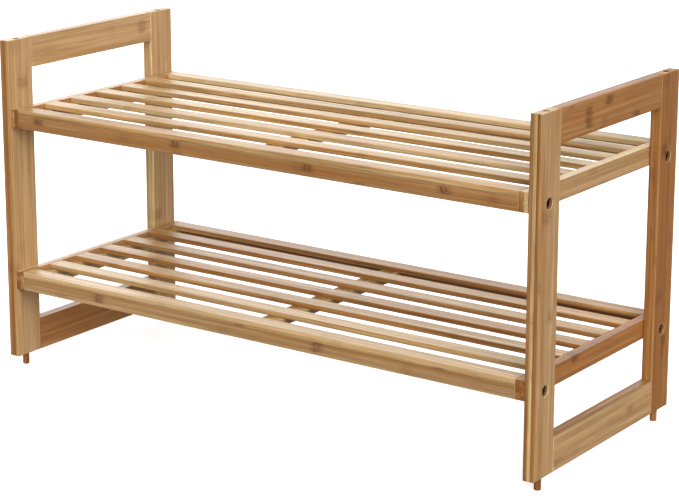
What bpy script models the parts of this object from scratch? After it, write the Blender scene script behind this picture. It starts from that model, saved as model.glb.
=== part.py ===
"""Stackable two-tier slatted shoe rack in laminated bamboo.

Two side frames, each of two posts and two rails, hold two slatted shelves between them.
Metres, +X to the right, +Y to the rear, +Z up. The origin is on the floor, under the middle
of the rack, at the tips of the stacking pins. Neighbouring pieces keep one joint gap apart.
"""

from math import cos, pi, sin

import bmesh
import bpy
from mathutils import Matrix, Vector

# Overall sizes
WIDTH = 0.808
DEPTH = 0.330
POST_HEIGHT = 0.427
UPPER_SHELF_TOP = 0.3375  # above the bottoms of the posts
LOWER_SHELF_TOP = 0.119  # above the bottoms of the posts

# Side frames
POST_THICKNESS = 0.0148  # along X, also the rails' thickness
POST_WIDTH = 0.044  # along Y
TOP_RAIL_HEIGHT = 0.0405
BOTTOM_RAIL_HEIGHT = 0.0435
RAIL_TENON_THICKNESS = 0.006
RAIL_TENON_LENGTH = 0.011
RAIL_TENON_SHOULDER = 0.007  # from the rail's top and bottom to its tenon

# Shelves
SHELF_HEIGHT = 0.0244
SHELF_SETBACK = 0.001  # of the shelf's front and rear from those of the frames
SLAT_COUNT = 7
SLAT_WIDTH = 0.023
SLAT_THICKNESS = 0.0065
END_RAIL_THICKNESS = 0.012
LEDGER_WIDTH = 0.011
APRON_THICKNESS = 0.012
APRON_TENON_LENGTH = 0.006
APRON_TENON_SHOULDER = 0.004  # on all four sides of the tenon
SUPPORT_WIDTH = 0.025
SUPPORT_HEIGHT = 0.010
SUPPORT_TENON_LENGTH = 0.005
SUPPORT_TENON_SHOULDER = 0.003  # on all four sides of the tenon

# Bolts, inserts and the holes for them
BOLT_DROP = 0.0148  # of a bolt's axis below its shelf's top
BOLT_SHANK_DIAMETER = 0.006
BOLT_CLEARANCE = 0.0006  # round the shank, in diameter
BOLT_ENGAGEMENT = 0.009  # of the shank in its insert
BOLT_HEAD_DIAMETER = 0.0115
BOLT_HEAD_HEIGHT = 0.004
BOLT_HEAD_CHAMFER = 0.0005
HEX_SOCKET_FLATS = 0.004
HEX_SOCKET_DEPTH = 0.0022
COUNTERBORE_DIAMETER = 0.013
COUNTERBORE_DEPTH = 0.0075
COUNTERBORE_CHAMFER = 0.001
INSERT_DIAMETER = 0.009
INSERT_LENGTH = 0.010
INSERT_SLOT_WIDTH = 0.0012
INSERT_SLOT_DEPTH = 0.0015

# Stacking pins and the sockets for a second rack's pins
PIN_DIAMETER = 0.0085
PIN_STANDOUT = 0.016
PIN_EMBEDDED = 0.020
PIN_CHAMFER = 0.0009
SOCKET_CLEARANCE = 0.001  # round a pin, in diameter
SOCKET_SPARE_DEPTH = 0.001  # beyond the pin's tip
SOCKET_CHAMFER = 0.0005

JOINT_GAP = 0.0003  # between neighbouring faces
FRAME_EDGE_ROUND = 0.001
SHELF_EDGE_ROUND = 0.0007
EDGE_SEGMENTS = 2
ROUND_SIDES = 24
CUT_MARGIN = 0.002  # how far a cutter stands out of the face it cuts

# Derived places
FRAME_BOTTOM = PIN_STANDOUT
FRAME_TOP = FRAME_BOTTOM + POST_HEIGHT
FRAME_OUTER = WIDTH / 2
FRAME_INNER = FRAME_OUTER - POST_THICKNESS
FRAME_MIDDLE = (FRAME_OUTER + FRAME_INNER) / 2
POST_FRONT = -DEPTH / 2
POST_INNER_EDGE = POST_FRONT + POST_WIDTH
POST_CENTRE = POST_FRONT + POST_WIDTH / 2
RAIL_HALF_LENGTH = -POST_INNER_EDGE - JOINT_GAP
SHELF_FRONT = POST_FRONT + SHELF_SETBACK
END_RAIL_OUTER = FRAME_INNER - JOINT_GAP
END_RAIL_INNER = END_RAIL_OUTER - END_RAIL_THICKNESS
SLAT_HALF_LENGTH = END_RAIL_INNER - JOINT_GAP
LEDGER_OUTER = END_RAIL_INNER - JOINT_GAP
APRON_INNER = SHELF_FRONT + APRON_THICKNESS
UNDER_SLATS = SLAT_THICKNESS + JOINT_GAP  # below a shelf's top
BOLT_HEAD_FACE = FRAME_OUTER - COUNTERBORE_DEPTH
BOLT_HEAD_TOP = BOLT_HEAD_FACE + JOINT_GAP + BOLT_HEAD_HEIGHT
BOLT_TIP = END_RAIL_OUTER - BOLT_ENGAGEMENT

SIDES = {"left": -1, "right": 1}
ENDS = {"front": -1, "rear": 1}
SHELVES = {"lower": FRAME_BOTTOM + LOWER_SHELF_TOP, "upper": FRAME_BOTTOM + UPPER_SHELF_TOP}


def clear_scene():
    for thing in list(bpy.data.objects):
        bpy.data.objects.remove(thing, do_unlink=True)


def material(name, colour, roughness, metallic=0.0):
    finish = bpy.data.materials.new(name)
    finish.use_nodes = True
    shader = finish.node_tree.nodes["Principled BSDF"]
    shader.inputs["Base Color"].default_value = (*colour, 1.0)
    shader.inputs["Roughness"].default_value = roughness
    shader.inputs["Metallic"].default_value = metallic
    finish.diffuse_color = (*colour, 1.0)
    return finish


def add_object(name, mesh, finish=None):
    thing = bpy.data.objects.new(name, mesh)
    bpy.context.collection.objects.link(thing)
    if finish:
        mesh.materials.append(finish)
    return thing


def finish_mesh(name, shape):
    """Turn the bmesh into a mesh with its faces pointing out."""
    bmesh.ops.recalc_face_normals(shape, faces=shape.faces)
    mesh = bpy.data.meshes.new(name)
    shape.to_mesh(mesh)
    shape.free()
    return mesh


def shade_smooth(mesh):
    mesh.shade_smooth()
    mesh.set_sharp_from_angle(angle=pi / 6)


def add_box(shape, low, high):
    """Add a box between two corners to the bmesh and return its edges."""
    size = Vector(high) - Vector(low)
    place = Matrix.Translation((Vector(low) + Vector(high)) / 2) @ Matrix.Diagonal((*size, 1.0))
    made = bmesh.ops.create_cube(shape, size=1.0, matrix=place)
    return list({edge for vert in made["verts"] for edge in vert.link_edges})


def add_turned(shape, profile, origin, axis, sides=ROUND_SIDES):
    """Add a closed turned body to the bmesh.

    The profile lists (distance along the axis, radius) from one end to the other.
    """
    axis = Vector(axis)
    across = axis.orthogonal().normalized()
    up = axis.cross(across)
    rings = []
    for along, radius in profile:
        ring = []
        for step in range(sides):
            turn = 2 * pi * step / sides
            spoke = across * cos(turn) + up * sin(turn)
            ring.append(shape.verts.new(Vector(origin) + axis * along + spoke * radius))
        rings.append(ring)
    for ring, following in zip(rings, rings[1:]):
        for step in range(sides):
            ahead = (step + 1) % sides
            shape.faces.new((ring[step], ring[ahead], following[ahead], following[step]))
    shape.faces.new(reversed(rings[0]))
    shape.faces.new(rings[-1])


def board(name, low, high, edge_round, finish):
    """A board with its long edges and ends eased."""
    shape = bmesh.new()
    edges = add_box(shape, low, high)
    bmesh.ops.bevel(shape, geom=edges, offset=edge_round, segments=EDGE_SEGMENTS, affect="EDGES",
                    profile=0.5)
    mesh = finish_mesh(name, shape)
    shade_smooth(mesh)
    return add_object(name, mesh, finish)


def boolean(body, tool, operation):
    """Cut the tool out of the body, or join it on, with a live modifier."""
    step = body.modifiers.new(tool.name, "BOOLEAN")
    step.operation = operation
    step.solver = "EXACT"
    step.object = tool
    tool.hide_render = True
    tool.display_type = "WIRE"


def box_tool(name, boxes):
    """A tool made of one or more separate boxes, each given by two corners."""
    shape = bmesh.new()
    for low, high in boxes:
        add_box(shape, low, high)
    return add_object(name, finish_mesh(name, shape))


def grown(box, gap):
    """The box with the gap added on all six sides."""
    low, high = box
    return tuple(value - gap for value in low), tuple(value + gap for value in high)


def side_box(side, near, far, y_low, y_high, z_low, z_high):
    """A box between two distances from the middle plane, on the given side."""
    low_x, high_x = sorted((side * near, side * far))
    return (low_x, y_low, z_low), (high_x, y_high, z_high)


def end_box(end, x_low, x_high, near, far, z_low, z_high):
    """A box between two distances in front of or behind the middle plane."""
    low_y, high_y = sorted((end * near, end * far))
    return (x_low, low_y, z_low), (x_high, high_y, z_high)


def rail_levels():
    """The bottom and top of each rail of a side frame."""
    return {
        "bottom": (FRAME_BOTTOM, FRAME_BOTTOM + BOTTOM_RAIL_HEIGHT),
        "top": (FRAME_TOP - TOP_RAIL_HEIGHT, FRAME_TOP),
    }


def rail_tenon(side, end, z_low, z_high):
    """The stub tenon at one end of a side frame's rail, from inside the rail to its tip."""
    half = RAIL_TENON_THICKNESS / 2
    x_low, x_high = sorted((side * (FRAME_MIDDLE - half), side * (FRAME_MIDDLE + half)))
    tip = RAIL_HALF_LENGTH + RAIL_TENON_LENGTH
    return end_box(end, x_low, x_high, RAIL_HALF_LENGTH - CUT_MARGIN, tip,
                   z_low + RAIL_TENON_SHOULDER, z_high - RAIL_TENON_SHOULDER)


def apron_tenon(side, end, shelf_top):
    """The stub tenon at one end of an apron, from inside the apron to its tip."""
    near = SLAT_HALF_LENGTH - CUT_MARGIN
    far = SLAT_HALF_LENGTH + APRON_TENON_LENGTH
    y_low, y_high = sorted((end * -SHELF_FRONT, end * -APRON_INNER))
    return side_box(side, near, far, y_low + APRON_TENON_SHOULDER, y_high - APRON_TENON_SHOULDER,
                    shelf_top - SHELF_HEIGHT + APRON_TENON_SHOULDER,
                    shelf_top - UNDER_SLATS - APRON_TENON_SHOULDER)


def support_tenon(end, shelf_top):
    """The stub tenon at one end of a centre support, from inside the support to its tip."""
    half = SUPPORT_WIDTH / 2 - SUPPORT_TENON_SHOULDER
    near = -APRON_INNER - JOINT_GAP - CUT_MARGIN
    far = -APRON_INNER - JOINT_GAP + SUPPORT_TENON_LENGTH
    top = shelf_top - UNDER_SLATS
    return end_box(end, -half, half, near, far, top - SUPPORT_HEIGHT + SUPPORT_TENON_SHOULDER,
                   top - SUPPORT_TENON_SHOULDER)


def post_holes(name, side, end):
    """Bolt holes with counterbores, the pin's hole below and the socket above."""
    shape = bmesh.new()
    outward = (side, 0, 0)
    bore = (BOLT_SHANK_DIAMETER + BOLT_CLEARANCE) / 2
    wide = COUNTERBORE_DIAMETER / 2
    for shelf_top in SHELVES.values():
        axis_point = (side * FRAME_INNER, end * -POST_CENTRE, shelf_top - BOLT_DROP)
        floor = POST_THICKNESS - COUNTERBORE_DEPTH
        rim = POST_THICKNESS - COUNTERBORE_CHAMFER
        over = COUNTERBORE_CHAMFER + CUT_MARGIN
        profile = ((-CUT_MARGIN, bore), (floor, bore), (floor, wide), (rim, wide),
                   (rim + over, wide + over))
        add_turned(shape, profile, axis_point, outward)
    centre = (side * FRAME_MIDDLE, end * -POST_CENTRE)
    pin_hole = PIN_DIAMETER / 2 + JOINT_GAP
    add_turned(shape, ((-CUT_MARGIN, pin_hole), (PIN_EMBEDDED + JOINT_GAP, pin_hole)),
               (*centre, FRAME_BOTTOM), (0, 0, 1))
    socket = (PIN_DIAMETER + SOCKET_CLEARANCE) / 2
    depth = PIN_STANDOUT + SOCKET_SPARE_DEPTH
    over = SOCKET_CHAMFER + CUT_MARGIN
    profile = ((-depth, socket), (-SOCKET_CHAMFER, socket), (CUT_MARGIN, socket + over))
    add_turned(shape, profile, (*centre, FRAME_TOP), (0, 0, 1))
    return add_object(name, finish_mesh(name, shape))


def post(side_name, end_name, finish):
    side = SIDES[side_name]
    end = ENDS[end_name]
    name = f"{side_name}_{end_name}_post"
    y_low, y_high = sorted((end * -POST_FRONT, end * -POST_INNER_EDGE))
    low, high = side_box(side, FRAME_INNER, FRAME_OUTER, y_low, y_high, FRAME_BOTTOM, FRAME_TOP)
    body = board(name, low, high, FRAME_EDGE_ROUND, finish)
    mortises = [grown(rail_tenon(side, end, *levels), JOINT_GAP)
                for levels in rail_levels().values()]
    boolean(body, box_tool(f"{name}_mortises", mortises), "DIFFERENCE")
    boolean(body, post_holes(f"{name}_holes", side, end), "DIFFERENCE")


def frame_rail(side_name, level_name, finish):
    side = SIDES[side_name]
    z_low, z_high = rail_levels()[level_name]
    name = f"{side_name}_{level_name}_rail"
    low, high = side_box(side, FRAME_INNER, FRAME_OUTER, -RAIL_HALF_LENGTH, RAIL_HALF_LENGTH,
                         z_low, z_high)
    body = board(name, low, high, FRAME_EDGE_ROUND, finish)
    tenons = [rail_tenon(side, end, z_low, z_high) for end in ENDS.values()]
    boolean(body, box_tool(f"{name}_tenons", tenons), "UNION")


def stacking_pin(side_name, end_name, finish):
    name = f"{side_name}_{end_name}_stacking_pin"
    radius = PIN_DIAMETER / 2
    length = PIN_STANDOUT + PIN_EMBEDDED
    profile = ((0, radius - PIN_CHAMFER), (PIN_CHAMFER, radius), (length - PIN_CHAMFER, radius),
               (length, radius - PIN_CHAMFER))
    shape = bmesh.new()
    place = (SIDES[side_name] * FRAME_MIDDLE, ENDS[end_name] * -POST_CENTRE, 0)
    add_turned(shape, profile, place, (0, 0, 1))
    mesh = finish_mesh(name, shape)
    shade_smooth(mesh)
    add_object(name, mesh, finish)


def end_rail(shelf_name, side_name, finish):
    side = SIDES[side_name]
    shelf_top = SHELVES[shelf_name]
    name = f"{shelf_name}_{side_name}_end_rail"
    low, high = side_box(side, END_RAIL_INNER, END_RAIL_OUTER, SHELF_FRONT, -SHELF_FRONT,
                         shelf_top - SHELF_HEIGHT, shelf_top)
    body = board(name, low, high, SHELF_EDGE_ROUND, finish)
    mortises = [grown(apron_tenon(side, end, shelf_top), JOINT_GAP) for end in ENDS.values()]
    boolean(body, box_tool(f"{name}_mortises", mortises), "DIFFERENCE")
    shape = bmesh.new()
    radius = INSERT_DIAMETER / 2 + JOINT_GAP
    for end in ENDS.values():
        place = (side * END_RAIL_OUTER, end * -POST_CENTRE, shelf_top - BOLT_DROP)
        add_turned(shape, ((-CUT_MARGIN, radius), (INSERT_LENGTH + JOINT_GAP, radius)), place,
                   (-side, 0, 0))
    holes = add_object(f"{name}_holes", finish_mesh(f"{name}_holes", shape))
    boolean(body, holes, "DIFFERENCE")


def ledger(shelf_name, side_name, finish):
    shelf_top = SHELVES[shelf_name]
    end = APRON_INNER + JOINT_GAP
    low, high = side_box(SIDES[side_name], LEDGER_OUTER - LEDGER_WIDTH, LEDGER_OUTER, end, -end,
                         shelf_top - SHELF_HEIGHT, shelf_top - UNDER_SLATS)
    board(f"{shelf_name}_{side_name}_ledger", low, high, SHELF_EDGE_ROUND, finish)


def slats(shelf_name, finish):
    shelf_top = SHELVES[shelf_name]
    pitch = (-2 * SHELF_FRONT - SLAT_WIDTH) / (SLAT_COUNT - 1)
    for number in range(SLAT_COUNT):
        front = SHELF_FRONT + number * pitch
        low = (-SLAT_HALF_LENGTH, front, shelf_top - SLAT_THICKNESS)
        high = (SLAT_HALF_LENGTH, front + SLAT_WIDTH, shelf_top)
        board(f"{shelf_name}_slat_{number + 1}", low, high, SHELF_EDGE_ROUND, finish)


def apron(shelf_name, end_name, finish):
    end = ENDS[end_name]
    shelf_top = SHELVES[shelf_name]
    name = f"{shelf_name}_{end_name}_apron"
    low, high = end_box(end, -SLAT_HALF_LENGTH, SLAT_HALF_LENGTH, -APRON_INNER, -SHELF_FRONT,
                        shelf_top - SHELF_HEIGHT, shelf_top - UNDER_SLATS)
    body = board(name, low, high, SHELF_EDGE_ROUND, finish)
    tenons = [apron_tenon(side, end, shelf_top) for side in SIDES.values()]
    boolean(body, box_tool(f"{name}_tenons", tenons), "UNION")
    mortise = grown(support_tenon(end, shelf_top), JOINT_GAP)
    boolean(body, box_tool(f"{name}_mortise", [mortise]), "DIFFERENCE")


def centre_support(shelf_name, finish):
    shelf_top = SHELVES[shelf_name]
    name = f"{shelf_name}_centre_support"
    end = APRON_INNER + JOINT_GAP
    top = shelf_top - UNDER_SLATS
    low = (-SUPPORT_WIDTH / 2, end, top - SUPPORT_HEIGHT)
    high = (SUPPORT_WIDTH / 2, -end, top)
    body = board(name, low, high, SHELF_EDGE_ROUND, finish)
    tenons = [support_tenon(end_sign, shelf_top) for end_sign in ENDS.values()]
    boolean(body, box_tool(f"{name}_tenons", tenons), "UNION")


def bolt(name, side, place_y, place_z, finish):
    """A socket-head bolt: its head sits in the counterbore, its tip in the insert."""
    shank = BOLT_SHANK_DIAMETER / 2
    head = BOLT_HEAD_DIAMETER / 2
    under_head = BOLT_HEAD_FACE + JOINT_GAP
    profile = ((BOLT_TIP, shank), (under_head, shank), (under_head, head),
               (BOLT_HEAD_TOP - BOLT_HEAD_CHAMFER, head),
               (BOLT_HEAD_TOP, head - BOLT_HEAD_CHAMFER))
    shape = bmesh.new()
    add_turned(shape, profile, (0, place_y, place_z), (side, 0, 0))
    mesh = finish_mesh(name, shape)
    shade_smooth(mesh)
    body = add_object(name, mesh, finish)
    key = bmesh.new()
    corner_radius = HEX_SOCKET_FLATS / 2 / cos(pi / 6)
    profile = ((BOLT_HEAD_TOP - HEX_SOCKET_DEPTH, corner_radius),
               (BOLT_HEAD_TOP + CUT_MARGIN, corner_radius))
    add_turned(key, profile, (0, place_y, place_z), (side, 0, 0), sides=6)
    boolean(body, add_object(f"{name}_key", finish_mesh(f"{name}_key", key)), "DIFFERENCE")


def insert(name, side, place_y, place_z, finish):
    """A threaded sleeve, slotted across its outer end, with the bolt's bore through it."""
    outer = INSERT_DIAMETER / 2
    bore = BOLT_SHANK_DIAMETER / 2 + JOINT_GAP
    shape = bmesh.new()
    inward = (-side, 0, 0)
    place = (side * END_RAIL_OUTER, place_y, place_z)
    add_turned(shape, ((0, outer), (INSERT_LENGTH, outer)), place, inward)
    mesh = finish_mesh(name, shape)
    shade_smooth(mesh)
    body = add_object(name, mesh, finish)
    drill = bmesh.new()
    add_turned(drill, ((-CUT_MARGIN, bore), (INSERT_LENGTH + CUT_MARGIN, bore)), place, inward)
    boolean(body, add_object(f"{name}_bore", finish_mesh(f"{name}_bore", drill)), "DIFFERENCE")
    half = INSERT_SLOT_WIDTH / 2
    slot = side_box(side, END_RAIL_OUTER - INSERT_SLOT_DEPTH, END_RAIL_OUTER + CUT_MARGIN,
                    place_y - INSERT_DIAMETER, place_y + INSERT_DIAMETER,
                    place_z - half, place_z + half)
    boolean(body, box_tool(f"{name}_slot", [slot]), "DIFFERENCE")


def build():
    clear_scene()
    frame_bamboo = material("frame_bamboo", (0.52, 0.33, 0.16), 0.45)
    slat_bamboo = material("slat_bamboo", (0.68, 0.53, 0.34), 0.45)
    rail_bamboo = material("rail_bamboo", (0.42, 0.23, 0.09), 0.45)
    pin_wood = material("pin_wood", (0.30, 0.14, 0.09), 0.5)
    bolt_steel = material("bolt_steel", (0.25, 0.24, 0.23), 0.35, metallic=1.0)
    insert_brass = material("insert_brass", (0.60, 0.45, 0.20), 0.4, metallic=1.0)

    for side_name, side in SIDES.items():
        for level_name in rail_levels():
            frame_rail(side_name, level_name, frame_bamboo)
        for end_name, end in ENDS.items():
            post(side_name, end_name, frame_bamboo)
            stacking_pin(side_name, end_name, pin_wood)
            for shelf_name, shelf_top in SHELVES.items():
                corner = f"{shelf_name}_{side_name}_{end_name}"
                place = (end * -POST_CENTRE, shelf_top - BOLT_DROP)
                bolt(f"{corner}_bolt", side, *place, bolt_steel)
                insert(f"{corner}_insert", side, *place, insert_brass)

    for shelf_name in SHELVES:
        slats(shelf_name, slat_bamboo)
        centre_support(shelf_name, rail_bamboo)
        for side_name in SIDES:
            end_rail(shelf_name, side_name, rail_bamboo)
            ledger(shelf_name, side_name, rail_bamboo)
        for end_name in ENDS:
            apron(shelf_name, end_name, rail_bamboo)


build()
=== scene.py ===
import random
from math import cos, pi, radians, sin

import bmesh
import bpy
from mathutils import Matrix, Vector


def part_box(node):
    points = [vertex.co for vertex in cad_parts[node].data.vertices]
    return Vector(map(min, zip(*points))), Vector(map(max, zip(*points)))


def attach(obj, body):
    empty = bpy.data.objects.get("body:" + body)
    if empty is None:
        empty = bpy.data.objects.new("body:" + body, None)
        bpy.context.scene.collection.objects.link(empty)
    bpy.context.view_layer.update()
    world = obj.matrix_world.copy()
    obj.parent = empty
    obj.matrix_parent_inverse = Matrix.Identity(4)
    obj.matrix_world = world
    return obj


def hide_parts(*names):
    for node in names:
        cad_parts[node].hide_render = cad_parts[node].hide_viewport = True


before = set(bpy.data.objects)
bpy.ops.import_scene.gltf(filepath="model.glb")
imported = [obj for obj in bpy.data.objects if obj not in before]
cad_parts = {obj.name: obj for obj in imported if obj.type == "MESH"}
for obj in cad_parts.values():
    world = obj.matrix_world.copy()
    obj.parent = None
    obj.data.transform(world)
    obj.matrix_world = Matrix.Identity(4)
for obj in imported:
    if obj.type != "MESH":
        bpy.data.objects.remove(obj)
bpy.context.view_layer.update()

# Camera, in metres and degrees, with its lens and sensor in millimetres: it looks at
# CAMERA_AIM from the right and a little above
CAMERA_AIM = (0.0182, 0.0, 0.2795)
CAMERA_AZIMUTH = 35.21
CAMERA_PITCH = 13.63
CAMERA_ROLL = 0.07
CAMERA_DISTANCE = 2.772
CAMERA_LENS = 116.4
CAMERA_SHIFT_Y = -0.1
SENSOR_WIDTH = 36.0
CLIP_NEAR, CLIP_FAR = 0.1, 100.0

# Surroundings: their strength below the horizon, on it and overhead, and a backdrop behind the
# rack's left, with its direction, its strength and the cosine of the angle where it starts
SKY_BELOW, SKY_LOW, SKY_ABOVE = 0.14, 0.34, 0.36
BACKDROP, BACKDROP_STRENGTH, BACKDROP_RIM = (-0.88, 0.46, 0.12), 2.9, 0.68
# Two broad lights, each its direction, strength and angle in degrees
LIGHTS = {
    "key": ((0.68, -0.58, 0.42), 4.5, 60.0),
    "rear_fill": ((-0.45, 0.85, 0.08), 1.2, 60.0),
}
FLOOR_SIZE, FLOOR_GREY, FLOOR_GLOW = 30.0, 0.92, 0.55
WHITE = (1, 1, 1, 1)

# Sizes of the bamboo strips that each material is glued up from, in metres
FRAME_STRIP, FRAME_PLY = 0.0205, 0.0148 / 3
SLAT_STRIP, SLAT_PLY = 0.0150, 0.008
RAIL_STRIP, RAIL_PLY = 0.0160, 0.006
PIN_STRIP, PIN_PLY = 0.030, 0.030

# Bamboo colours, linear, from the palest strips to the most caramelised
STRAW = (0.70, 0.515, 0.280, 1)
HONEY = (0.56, 0.378, 0.168, 1)
TAN = (0.42, 0.203, 0.058, 1)
CARAMEL = (0.235, 0.088, 0.022, 1)
# This brown is the knuckles' own colour, and also the painted shade inside the bolt holes
KNUCKLE_AND_HOLE_SHADE_BROWN = (0.110, 0.034, 0.010, 1)
RED_SHIFT = (0.92, 0.70, 0.62, 1)
# Knuckles: how far apart a strip's are, and how far apart the two rows of one are, in metres
KNUCKLE_SPACING, ROWS_APART = 0.27, 0.0062
# Noises in the bamboo: how many times they repeat in a metre along, across and through it
BROAD, CLOUD, FINE = (2.0, 130.0, 130.0), (8.0, 25.0, 25.0), (9.0, 650.0, 650.0)
FIBRE, BUNDLE = (4.0, 220.0, 220.0), (20.0, 520.0, 520.0)
WOBBLE, SPECKLE = (25.0, 190.0, 190.0), (330.0, 430.0, 430.0)
LACQUER = {"IOR": 1.42, "Coat Weight": 0.3, "Coat Roughness": 0.36}

# Metals: colour, worn colour and roughness
STEEL = (0.035, 0.032, 0.030, 1), (0.16, 0.15, 0.14, 1), 0.38
BRASS = (0.62, 0.43, 0.17, 1), (0.75, 0.58, 0.30, 1), 0.32

# For each kind of board: the axes along, across and through its grain, its tone from 0 for
# pale to 1 for dark, and how red it is
KINDS = {
    "post": ((2, 1, 0), 0.45, 0.1),
    "top_rail": ((1, 2, 0), 0.45, 0.1),
    "bottom_rail": ((1, 2, 0), 0.45, 0.1),
    "slat": ((0, 1, 2), 0.31, 0.1),
    "centre_support": ((1, 0, 2), 0.45, 0.1),
    "end_rail": ((1, 2, 0), 0.40, 0.1),
    "ledger": ((1, 2, 0), 0.35, 0.0),
    "apron": ((0, 2, 1), 0.65, 0.2),
    "pin": ((2, 0, 1), 0.72, 1.0),
}
# Boards that are clearly paler, darker or redder than their kind, some of them darker by painted
# shade: tone and redness
TONES = {
    "right_front_post": (0.22, 0.0),
    "right_rear_post": (0.80, 0.25),
    "right_top_rail": (0.70, 0.35),
    "right_bottom_rail": (0.18, 0.0),
    "left_front_post": (0.16, 0.0),
    "left_rear_post": (0.26, 0.0),
    "left_top_rail": (0.14, 0.0),
    # The left bottom rail's dark tone is painted shade from the lower shelf
    "left_bottom_rail": (0.72, 0.3),
    "upper_front_apron": (0.58, 0.15),
    "lower_front_apron": (0.44, 0.05),
    # The rear aprons' dark tone is painted shade: little light reaches them behind the slats
    "upper_rear_apron": (0.86, 0.3),
    "lower_rear_apron": (0.90, 0.3),
    "upper_right_end_rail": (0.20, 0.0),
    "lower_right_end_rail": (0.72, 0.5),
    # Lower slats 3 to 7 darken towards the rear: painted shade from the upper shelf
    "lower_slat_3": (0.38, 0.1),
    "lower_slat_4": (0.42, 0.1),
    "lower_slat_5": (0.48, 0.2),
    "lower_slat_6": (0.50, 0.3),
    "lower_slat_7": (0.50, 0.2),
}
# How much darker each of a board's plies is on its narrow faces, or on an end rail's ends,
# from its low side to its high side
PLIES = {
    "right_front_post": (0.80, 0.24, 0.86),
    "left_front_post": (0.72, 0.66, 0.44),
    "right_bottom_rail": (0.60, 0.70, 0.60),
    "upper_left_end_rail": (0.38, 0.70, 0.0),
    "lower_left_end_rail": (0.62, 0.34, 0.0),
    "upper_right_end_rail": (0.66, 0.02, 0.0),
    "lower_right_end_rail": (0.20, 0.05, 0.0),
}
# How far a board that TONES leaves out strays from its kind, in tone and redness, and how much
# darker the plies are of a board that PLIES leaves out
TONE_SPREAD, REDNESS_SPREAD, PLY_SPREAD = (-0.13, 0.13), (-0.15, 0.25), (0.0, 0.35)
# Marked knuckles: place along and across the board from its middle, and reach across it, in
# metres. NOWHERE fills the places of the marks and bolt holes that a board doesn't have
KNUCKLES = {
    "right_top_rail": ((-0.062, -0.001, 0.011), (-0.015, 0.012, 0.005), (0.053, -0.016, 0.003)),
    "right_front_post": ((0.091, -0.006, 0.009), (-0.024, 0.006, 0.005), (0.013, -0.019, 0.002)),
    "right_rear_post": ((0.116, -0.011, 0.006), (-0.127, 0.004, 0.005)),
    "right_bottom_rail": ((0.063, 0.002, 0.004),),
    "left_top_rail": ((0.098, 0.003, 0.009),),
    "left_front_post": ((0.153, 0.003, 0.009), (-0.095, -0.018, 0.004)),
    "left_rear_post": ((-0.082, -0.014, 0.007),),
    "upper_front_apron": ((-0.344, 0.004, 0.004), (-0.118, 0.004, 0.004),
                          (0.084, 0.002, 0.004), (0.276, 0.003, 0.004)),
    "lower_front_apron": ((-0.249, 0.002, 0.005), (0.098, 0.001, 0.006),
                          (-0.020, 0.009, 0.002), (0.270, 0.009, 0.002)),
    "lower_right_end_rail": ((-0.052, 0.009, 0.005),),
}
KNUCKLE_KEYS = ("knuckle_1", "knuckle_2", "knuckle_3", "knuckle_4")
NOWHERE = (9.0, 9.0, 0.001)
BOLT_HOLE_RADIUS = 0.00605

# The material slot of each kind of node
SLOTS = {
    "slat": "slat_bamboo",
    "post": "frame_bamboo",
    "top_rail": "frame_bamboo",
    "bottom_rail": "frame_bamboo",
    "pin": "pin_wood",
    "bolt": "bolt_steel",
    "insert": "insert_brass",
    "centre_support": "rail_bamboo",
    "end_rail": "rail_bamboo",
    "ledger": "rail_bamboo",
    "apron": "rail_bamboo",
}

# Socket-head bolts, in metres: the head with its rounded rim, the hex socket with the drill
# point at its bottom, the thread and the tip
BOLT_SIDES = 48
BOLT_RADIUS = 0.003
HEAD_RADIUS, HEAD_HEIGHT, HEAD_ROUND, HEAD_FACE = 0.00575, 0.004, 0.0008, 0.00475
HEX_HALF_FLATS, HEX_DEPTH, HEX_POINT, HEX_POINT_RADIUS = 0.002, 0.0022, 0.0028, 0.0004
HEX_LEDGE, HEX_CHAMFER, NECK_CHAMFER = 0.98, 0.0002, 0.0003
THREAD_START, THREAD_PITCH, THREAD_DEPTH, THREAD_STEP = 0.0105, 0.001, 0.00045, 0.00025
THREAD_END, TIP_START, TIP_BEVEL, TIP_DROP = 0.0008, 0.0006, 0.0002, 0.0008
# Dowels in place of the pins: sides, how much their ends are rounded, and steps along them
PIN_SIDES, PIN_ROUND, PIN_STEPS = 40, 0.0011, 8
# Meshes: steps in a rounded end, the angle in degrees that stays a sharp edge, and how near
# two vertices are welded, in metres
ROUND_STEPS, SHARP_ANGLE, WELD_DISTANCE = 4, 35, 1e-6


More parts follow.
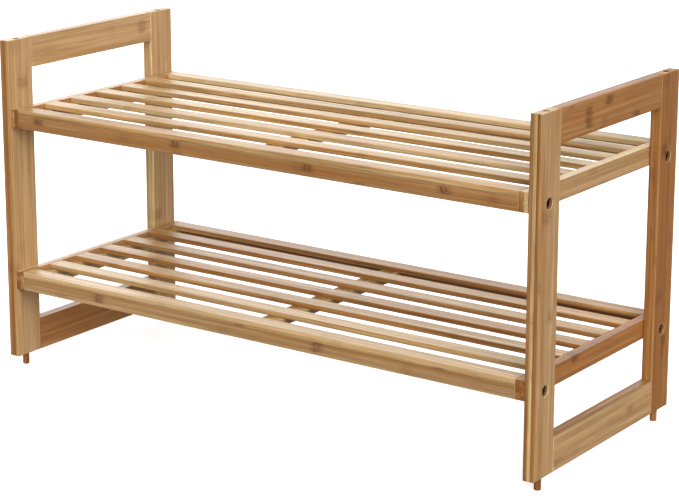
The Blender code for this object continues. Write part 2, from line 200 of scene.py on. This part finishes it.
class Nodes:
    """A shader node tree, with short calls for the nodes that it needs."""

    def __init__(self, tree):
        self.tree = tree
        tree.nodes.clear()

    def add(self, kind, inputs=None, output=0, **settings):
        node = self.tree.nodes.new("ShaderNode" + kind)
        for key, value in settings.items():
            setattr(node, key, value)
        for key, value in (inputs or {}).items():
            self.set(node.inputs[key], value)
        return node.outputs[output] if node.outputs else node

    def set(self, socket, value):
        if isinstance(value, bpy.types.NodeSocket):
            self.tree.links.new(value, socket)
        else:
            socket.default_value = value

    def math(self, operation, a, b=0.0):
        return self.add("Math", {0: a, 1: b}, operation=operation)

    def plus(self, a, b):
        return self.math("ADD", a, b)

    def minus(self, a, b):
        return self.math("SUBTRACT", a, b)

    def times(self, a, b):
        return self.math("MULTIPLY", a, b)

    def size(self, a):
        return self.math("ABSOLUTE", a)

    def least(self, a, b):
        return self.math("MINIMUM", a, b)

    def most(self, a, b):
        return self.math("MAXIMUM", a, b)

    def centred(self, value, swing):
        """A value from 0 to 1 turned into one from -swing/2 to swing/2."""
        return self.times(self.minus(value, 0.5), swing)

    def ease(self, value, low, high, start=0.0, end=1.0):
        """Start below low, end above high, and a smooth step in between."""
        numbers = {0: value, 1: low, 2: high, 3: start, 4: end}
        return self.add("MapRange", numbers, interpolation_type="SMOOTHSTEP")

    def combine(self, x, y, z):
        return self.add("CombineXYZ", {0: x, 1: y, 2: z})

    def distance(self, x, y):
        return self.add("VectorMath", {0: self.combine(x, y, 0.0)}, 1, operation="LENGTH")

    def split(self, vector):
        node = self.add("SeparateXYZ", {0: vector}).node
        return node.outputs[0], node.outputs[1], node.outputs[2]

    def stored(self, name):
        """A vector that the mesh holds under that name."""
        return self.add("Attribute", output=1, attribute_name=name)

    def noise(self, at, scale, detail=2.0, roughness=0.5):
        """A noise from 0 to 1 at a point multiplied by scale along each axis."""
        at = self.add("VectorMath", {0: at, 1: scale}, operation="MULTIPLY")
        numbers = {"Vector": at, "Scale": 1.0, "Detail": detail, "Roughness": roughness}
        return self.add("TexNoise", numbers)

    def chance(self, key, output=0):
        return self.add("TexWhiteNoise", {"Vector": key}, output, noise_dimensions="3D")

    def mix(self, share, a, b, blend="MIX"):
        numbers = {0: share, 6: a, 7: b}
        return self.add("Mix", numbers, 2, data_type="RGBA", blend_type=blend)

    def ramp(self, value, stops):
        node = self.add("ValToRGB", {0: value}).node
        elements = node.color_ramp.elements
        while len(elements) < len(stops):
            elements.new(0.5)
        for element, (place, colour) in zip(elements, stops):
            element.position, element.color = place, colour
        return node.outputs[0]

    def bump(self, height, distance, strength):
        numbers = {"Height": height, "Distance": distance, "Strength": strength}
        return self.add("Bump", numbers)

    def shader(self, sockets):
        output = self.add("BsdfPrincipled", sockets)
        self.add("OutputMaterial", {0: output})


def new_material(name):
    made = bpy.data.materials.new(name)
    made.use_nodes = True
    return made, Nodes(made.node_tree)


def knuckle_mark(n, off, speckle):
    """Two rows of dark blots across the grain, with a brown stain around them."""
    first = n.ease(n.size(off), 0.0010, 0.0028, 1.0, 0.0)
    second = n.ease(n.size(n.minus(off, ROWS_APART)), 0.0009, 0.0026, 0.9, 0.0)
    rows = n.times(n.most(first, second), n.ease(speckle, 0.36, 0.52, 0.35, 1.0))
    from_middle = n.size(n.minus(off, ROWS_APART / 2))
    dots = n.times(n.ease(from_middle, 0.002, 0.008, 0.8, 0.0), n.ease(speckle, 0.47, 0.62))
    return n.most(n.most(rows, dots), n.ease(from_middle, 0.004, 0.014, 0.46, 0.0))


def bamboo(name, strip, ply, plies_on_ends=False):
    """Glued strips of split bamboo under a satin lacquer.

    The mesh holds grain, the place on the board along, across and through its grain; half,
    the board's half sizes; board, its seed, tone and redness; plies, what each ply adds to
    the tone; holes, the places along of two bolt holes and their radius; and four knuckles,
    each its place along and across, and its reach.
    """
    material, n = new_material(name)
    grain = n.stored("grain")
    along, across, through = n.split(grain)
    half_along, half_across, half_through = n.split(n.stored("half"))
    seed, board_tone, redness = n.split(n.stored("board"))

    # Which strip this point is in, and that strip's own random numbers
    layers = n.math("DIVIDE", n.plus(through, half_through), ply)
    layer = n.math("FLOOR", layers)
    shift = n.chance(n.combine(layer, seed, 3.0))
    strips = n.plus(n.math("DIVIDE", across, strip), n.times(shift, 5.0))
    chance = n.chance(n.combine(n.math("FLOOR", strips), layer, seed), 1)
    strip_tone, phase, strength = n.split(chance)
    moved = n.add("VectorMath", {0: chance, 1: (9.0, 7.0, 5.0)}, operation="MULTIPLY")
    at = n.add("VectorMath", {0: grain, 1: moved}, operation="ADD")

    # Fibres: broad streaks, soft clouds, fine fibres and short dark bundles
    broad = n.noise(at, BROAD)
    cloud = n.noise(at, CLOUD, 3.0)
    fine = n.noise(at, FINE, 3.0, 0.6)
    fibre = n.noise(at, FIBRE, 4.0, 0.65)
    bundle = n.ease(n.noise(at, BUNDLE, 1.0), 0.56, 0.70)

    # Glue lines between strips and between plies
    edge = n.math("FRACT", strips)
    edge = n.times(n.least(edge, n.minus(1.0, edge)), strip)
    ply_edge = n.math("FRACT", layers)
    ply_edge = n.times(n.least(ply_edge, n.minus(1.0, ply_edge)), ply)
    glue = n.ease(n.least(edge, ply_edge), 0.0001, 0.0005, 1.0, 0.0)

    # Knuckles: every strip has faint ones now and then, and some boards have marked ones
    wobble = n.centred(n.noise(at, WOBBLE), 0.013)
    speckle = n.noise(at, SPECKLE, 2.0, 0.6)
    turn = n.plus(n.math("DIVIDE", n.plus(along, wobble), KNUCKLE_SPACING), phase)
    off = n.times(n.minus(n.math("FRACT", turn), 0.5), KNUCKLE_SPACING)
    faint = n.ease(strength, 0.30, 0.95, 0.04, 0.62)
    knuckle = n.times(knuckle_mark(n, off, speckle), faint)
    for key in KNUCKLE_KEYS:
        place_along, place_across, reach = n.split(n.stored(key))
        off = n.minus(n.plus(along, n.times(wobble, 1.1)), place_along)
        beyond = n.minus(n.size(n.minus(across, place_across)), reach)
        window = n.ease(n.plus(beyond, n.times(wobble, 0.4)), -0.001, 0.002, 1.0, 0.0)
        knuckle = n.most(knuckle, n.times(knuckle_mark(n, off, speckle), window))
    knuckle = n.times(knuckle, n.ease(board_tone, 0.15, 0.65, 0.55, 1.0))

    # The narrow faces, a painted highlight along the arrises, the end grain and painted shade
    # inside the holes
    gap_across = n.minus(half_across, n.size(across))
    gap_through = n.minus(half_through, n.size(through))
    narrow = n.ease(gap_across, 0.0004, 0.0012, 1.0, 0.0)
    # Painted highlight: a pale line along every edge, where light would catch it
    edge_highlight = n.ease(n.most(gap_across, gap_through), 0.0002, 0.0011, 1.0, 0.0)
    gap_along = n.minus(half_along, n.size(along))
    end = n.ease(gap_along, 0.0002, 0.0007, 1.0, 0.0)
    # Hole walls, far from every outer face: painted shade darkens them, and they are rougher
    shaded_hole_wall = n.ease(n.least(n.least(gap_across, gap_through), gap_along), 0.0004, 0.0012)

    # A painted highlight on the rims of the two bolt holes, and the tone of the ply that this
    # point is in
    hole_1, hole_2, hole_radius = n.split(n.stored("holes"))
    rim_highlight, ply_tone = 0.0, 0.0
    for place in (hole_1, hole_2):
        from_axis = n.distance(n.minus(along, place), across)
        off = n.size(n.minus(from_axis, hole_radius))
        rim_highlight = n.most(rim_highlight, n.ease(off, 0.0004, 0.0018, 1.0, 0.0))
    for number, tone in enumerate(n.split(n.stored("plies"))):
        is_this = n.add("Math", {0: layer, 1: float(number), 2: 0.5}, operation="COMPARE")
        ply_tone = n.plus(n.times(is_this, tone), ply_tone)

    # Colour
    tone = n.plus(board_tone, n.centred(strip_tone, 0.46))
    tone = n.plus(tone, n.centred(broad, 0.85))
    tone = n.plus(tone, n.centred(cloud, 0.36))
    tone = n.plus(tone, n.times(end if plies_on_ends else narrow, ply_tone))
    colour = n.ramp(tone, ((0.0, STRAW), (0.38, HONEY), (0.70, TAN), (1.0, CARAMEL)))
    colour = n.mix(redness, colour, n.mix(1.0, colour, RED_SHIFT, "MULTIPLY"))
    fine_streak = n.ease(fine, 0.25, 0.75, 0.80, 1.17)
    streak = n.times(fine_streak, n.ease(fibre, 0.38, 0.62, 0.74, 1.18))
    colour = n.mix(1.0, colour, n.combine(streak, streak, streak), "MULTIPLY")
    colour = n.mix(n.times(bundle, 0.40), colour, CARAMEL)
    colour = n.mix(n.times(glue, 0.55), colour, CARAMEL)
    colour = n.mix(n.times(end, 0.12), colour, CARAMEL)
    # Painted highlight along the arrises
    colour = n.mix(n.times(edge_highlight, 0.12), colour, STRAW)
    # Painted highlight around the bolt holes
    colour = n.mix(n.times(rim_highlight, 0.45), colour, STRAW)
    colour = n.mix(n.times(knuckle, 0.92), colour, KNUCKLE_AND_HOLE_SHADE_BROWN)
    # Painted shade inside the bolt holes
    colour = n.mix(n.times(shaded_hole_wall, 0.85), colour, KNUCKLE_AND_HOLE_SHADE_BROWN)

    # Surface
    rough = n.plus(n.ease(fine, 0.2, 0.8, 0.40, 0.54), n.times(shaded_hole_wall, 0.3))
    height = n.plus(n.times(fine, 0.5), n.times(knuckle, 0.9))
    height = n.minus(height, n.times(glue, 0.8))
    n.shader({"Base Color": colour, "Roughness": rough, "Normal": n.bump(height, 0.0003, 0.35),
              **LACQUER})
    return material


def metal(name, colour, worn_colour, roughness):
    """Machined metal with a fine worn finish."""
    material, n = new_material(name)
    at = n.add("TexCoord", output=3)
    patch = n.noise(at, (400.0, 400.0, 400.0), 4.0, 0.6)
    grit = n.noise(at, (2600.0, 2600.0, 2600.0), 2.0)
    base = n.mix(n.ease(patch, 0.40, 0.66), colour, worn_colour)
    rough = n.plus(roughness, n.centred(patch, 0.2))
    n.shader({"Base Color": base, "Metallic": 1.0, "Roughness": rough,
              "Normal": n.bump(grit, 0.00005, 0.25)})
    return material


MATERIALS = {
    "frame_bamboo": bamboo("frame_bamboo", FRAME_STRIP, FRAME_PLY),
    "slat_bamboo": bamboo("slat_bamboo", SLAT_STRIP, SLAT_PLY),
    "rail_bamboo": bamboo("rail_bamboo", RAIL_STRIP, RAIL_PLY, plies_on_ends=True),
    "pin_wood": bamboo("pin_wood", PIN_STRIP, PIN_PLY),
    "bolt_steel": metal("bolt_steel", *STEEL),
    "insert_brass": metal("insert_brass", *BRASS),
}


def kind_of(node, names):
    """The first of names that the node's own name holds."""
    return next(name for name in names if name in node)


def write_vectors(mesh, name, values):
    """One vector for each vertex, under that name."""
    attribute = mesh.attributes.new(name, "FLOAT_VECTOR", "POINT")
    attribute.data.foreach_set("vector", [x for value in values for x in value])


def write_grain(mesh, node, axes, tone, redness, seed):
    """Gives a mesh the values that the bamboo materials read."""
    low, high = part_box(node)
    middle, half = (low + high) / 2, (high - low) / 2
    count = len(mesh.vertices)
    chance = random.Random(seed)
    plies = PLIES.get(node, [chance.uniform(*PLY_SPREAD) for _ in range(3)])
    marks = KNUCKLES.get(node, ()) + (NOWHERE,) * len(KNUCKLE_KEYS)
    holes = NOWHERE
    if "post" in node:
        bolt = node.replace("post", "bolt")
        boxes = [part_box(shelf + "_" + bolt) for shelf in ("lower", "upper")]
        places = [(bottom[2] + top[2]) / 2 - middle[2] for bottom, top in boxes]
        holes = (places[0], places[1], BOLT_HOLE_RADIUS)
    write_vectors(mesh, "grain", [[v.co[a] - middle[a] for a in axes] for v in mesh.vertices])
    write_vectors(mesh, "half", [[half[a] for a in axes]] * count)
    write_vectors(mesh, "board", [(seed * 1.37 + 0.5, tone, redness)] * count)
    write_vectors(mesh, "plies", [plies] * count)
    write_vectors(mesh, "holes", [holes] * count)
    for key, mark in zip(KNUCKLE_KEYS, marks):
        write_vectors(mesh, key, [mark] * count)


def dress_node(node, slot):
    """Shows a CAD node itself, with its rounded edges shaded as round."""
    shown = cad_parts[node]
    shown.material_slots[0].material = MATERIALS[slot]
    mesh = shown.data
    mesh.attributes.remove(mesh.attributes["custom_normal"])
    mesh.polygons.foreach_set("use_smooth", [True] * len(mesh.polygons))
    shown.modifiers.new("weld", "WELD").merge_threshold = WELD_DISTANCE
    normals = shown.modifiers.new("normals", "WEIGHTED_NORMAL")
    normals.weight, normals.keep_sharp = 100, True


def dress_board(node, seed):
    """Shows a CAD board in bamboo, with its grain along it."""
    axes, tone, redness = KINDS[kind_of(node, KINDS)]
    if node in TONES:
        tone, redness = TONES[node]
    else:
        chance = random.Random(seed + 500)
        tone += chance.uniform(*TONE_SPREAD)
        redness = max(0.0, redness + chance.uniform(*REDNESS_SPREAD))
    write_grain(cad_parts[node].data, node, axes, tone, redness, seed)
    dress_node(node, SLOTS[kind_of(node, SLOTS)])


def turned_piece(name, rows, sides, axis_from, axis_to, node, slot):
    """A closed turned mesh in place of a CAD node.

    Each row is a distance along the axis and a radius, which may be a function of the angle.
    The first and last rows close on points of their own.
    """
    start, end = Vector(axis_from), Vector(axis_to)
    along = (end - start).normalized()
    side = along.orthogonal().normalized()
    other = along.cross(side)
    shape = bmesh.new()
    rings = []
    for distance, radius in rows:
        ring = []
        for i in range(sides):
            angle = 2 * pi * i / sides
            reach = radius(angle) if callable(radius) else radius
            out = side * cos(angle) + other * sin(angle)
            ring.append(shape.verts.new(start + along * distance + out * reach))
        rings.append(ring)
    for ring, following in zip(rings, rings[1:]):
        for i in range(sides):
            j = (i + 1) % sides
            shape.faces.new((ring[i], ring[j], following[j], following[i]))
    for ring, (distance, _) in ((rings[0], rows[0]), (rings[-1], rows[-1])):
        tip = shape.verts.new(start + along * distance)
        for i in range(sides):
            shape.faces.new((tip, ring[i], ring[(i + 1) % sides]))
    bmesh.ops.recalc_face_normals(shape, faces=shape.faces)
    mesh = bpy.data.meshes.new(name)
    shape.to_mesh(mesh)
    shape.free()
    mesh.polygons.foreach_set("use_smooth", [True] * len(mesh.polygons))
    mesh.set_sharp_from_angle(angle=radians(SHARP_ANGLE))
    piece = bpy.data.objects.new(name, mesh)
    bpy.context.scene.collection.objects.link(piece)
    mesh.materials.append(MATERIALS[slot])
    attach(piece, "root")
    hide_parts(node)
    return mesh


def rounded_end(radius, soft):
    """The rows of an end that is rounded by soft, from its face to the full radius."""
    turns = [t * pi / (2 * ROUND_STEPS) for t in range(ROUND_STEPS + 1)]
    return [(soft - soft * cos(t), radius - soft + soft * sin(t)) for t in turns]


def hexagon(angle):
    """The reach of the hex socket's wall at an angle."""
    return HEX_HALF_FLATS / cos((angle + pi / 6) % (pi / 3) - pi / 6)


def make_bolt(node):
    """A socket-head bolt with a drilled hex socket, rounded head and cut thread."""
    low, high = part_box(node)
    y, z = (low[1] + high[1]) / 2, (low[2] + high[2]) / 2
    head, tip = (high[0], low[0]) if high[0] > 0 else (low[0], high[0])
    length = abs(head - tip)
    rows = [(HEX_POINT, HEX_POINT_RADIUS), (HEX_DEPTH, lambda a: hexagon(a) * HEX_LEDGE),
            (HEX_DEPTH, hexagon), (HEX_CHAMFER, hexagon),
            (0.0, lambda a: hexagon(a) + HEX_CHAMFER), (0.0, HEAD_FACE)]
    rows += rounded_end(HEAD_RADIUS, HEAD_ROUND)
    rows += [(HEAD_HEIGHT - NECK_CHAMFER, HEAD_RADIUS), (HEAD_HEIGHT, HEAD_RADIUS - NECK_CHAMFER),
             (HEAD_HEIGHT, BOLT_RADIUS + NECK_CHAMFER), (HEAD_HEIGHT + NECK_CHAMFER, BOLT_RADIUS)]

    def thread(place):
        """The radius of the thread at a distance, as a helix: it depends on the angle."""
        def radius(angle):
            turn = (place / THREAD_PITCH + angle / (2 * pi)) % 1.0
            fade = min(1.0, (place - THREAD_START) / THREAD_PITCH, (length - place) / THREAD_PITCH)
            return BOLT_RADIUS - THREAD_DEPTH * (1.0 - abs(2 * turn - 1)) * max(fade, 0.0)
        return radius

    place = THREAD_START
    while place < length - THREAD_END:
        rows.append((place, thread(place)))
        place += THREAD_STEP
    rows += [(length - TIP_START, BOLT_RADIUS - TIP_BEVEL), (length, BOLT_RADIUS - TIP_DROP)]
    turned_piece(node.replace("bolt", "socket_bolt"), rows, BOLT_SIDES,
                 (head, y, z), (tip, y, z), node, "bolt_steel")


def make_pin(node, seed):
    """A hardwood dowel with rounded ends."""
    low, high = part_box(node)
    x, y = (low[0] + high[0]) / 2, (low[1] + high[1]) / 2
    radius, length = (high[0] - low[0]) / 2, high[2] - low[2]
    end = rounded_end(radius, PIN_ROUND)
    rows = end + [(length * t / PIN_STEPS, radius) for t in range(1, PIN_STEPS)]
    rows += [(length - distance, reach) for distance, reach in reversed(end)]
    mesh = turned_piece(node.replace("pin", "dowel"), rows, PIN_SIDES,
                        (x, y, low[2]), (x, y, high[2]), node, "pin_wood")
    axes, tone, redness = KINDS["pin"]
    write_grain(mesh, node, axes, tone, redness, seed)


def make_light(name, direction, strength, angle):
    """A broad light that leaves no glare on the lacquer."""
    data = bpy.data.lights.new(name, "SUN")
    data.energy, data.angle = strength, radians(angle)
    light = bpy.data.objects.new(name, data)
    light.rotation_euler = Vector(direction).to_track_quat("Z", "Y").to_euler()
    light.visible_glossy = False
    bpy.context.scene.collection.objects.link(light)


def make_floor():
    """A pale floor that only the camera sees, so it lights and mirrors nothing."""
    mesh = bpy.data.meshes.new("floor")
    shape = bmesh.new()
    bmesh.ops.create_grid(shape, x_segments=1, y_segments=1, size=FLOOR_SIZE)
    shape.to_mesh(mesh)
    shape.free()
    floor = bpy.data.objects.new("floor", mesh)
    bpy.context.scene.collection.objects.link(floor)
    material, n = new_material("pale_floor")
    grey = (FLOOR_GREY, FLOOR_GREY, FLOOR_GREY, 1)
    n.shader({"Base Color": grey, "Roughness": 0.9, "IOR": 1.1,
              "Emission Color": WHITE, "Emission Strength": FLOOR_GLOW})
    mesh.materials.append(material)
    floor.visible_diffuse = floor.visible_glossy = False


def make_world():
    """Surroundings that are dim below, brighter above, and bright behind the rack's left."""
    world = bpy.data.worlds.new("studio")
    world.use_nodes = True
    n = Nodes(world.node_tree)
    direction = n.add("TexCoord")
    behind = n.add("VectorMath", {0: direction, 1: BACKDROP}, 1, operation="DOT_PRODUCT")
    height = n.split(direction)[2]
    light = n.plus(n.ease(height, -0.25, 0.05, SKY_BELOW, SKY_LOW),
                   n.ease(height, 0.1, 0.9, 0.0, SKY_ABOVE - SKY_LOW))
    glow = n.ease(behind, BACKDROP_RIM, 1.0, 0.0, BACKDROP_STRENGTH)
    glow = n.times(glow, n.ease(height, -0.05, 0.1))
    light = n.plus(light, glow)
    n.add("OutputWorld", {0: n.add("Background", {0: WHITE, 1: light})})
    bpy.context.scene.world = world


def make_camera():
    """The camera at the place, turn and lens given above."""
    data = bpy.data.cameras.new("camera")
    data.lens, data.sensor_width, data.shift_y = CAMERA_LENS, SENSOR_WIDTH, CAMERA_SHIFT_Y
    data.clip_start, data.clip_end = CLIP_NEAR, CLIP_FAR
    camera = bpy.data.objects.new("camera", data)
    bpy.context.scene.collection.objects.link(camera)
    turn, pitch = radians(CAMERA_AZIMUTH), radians(CAMERA_PITCH)
    back = Vector((sin(turn) * cos(pitch), -cos(turn) * cos(pitch), sin(pitch)))
    facing = (-back).to_track_quat("-Z", "Y").to_matrix()
    facing = facing @ Matrix.Rotation(radians(CAMERA_ROLL), 3, "Z")
    place = Matrix.Translation(Vector(CAMERA_AIM) + back * CAMERA_DISTANCE)
    camera.matrix_world = place @ facing.to_4x4()
    bpy.context.scene.camera = camera


for seed, node in enumerate(sorted(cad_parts)):
    if "bolt" in node:
        make_bolt(node)
    elif "insert" in node:
        dress_node(node, "insert_brass")
    elif "pin" in node:
        make_pin(node, seed)
    else:
        dress_board(node, seed)
make_floor()
make_world()
for name, (direction, strength, angle) in LIGHTS.items():
    make_light(name, direction, strength, angle)
make_camera()
bpy.context.scene.view_settings.view_transform = "Standard"
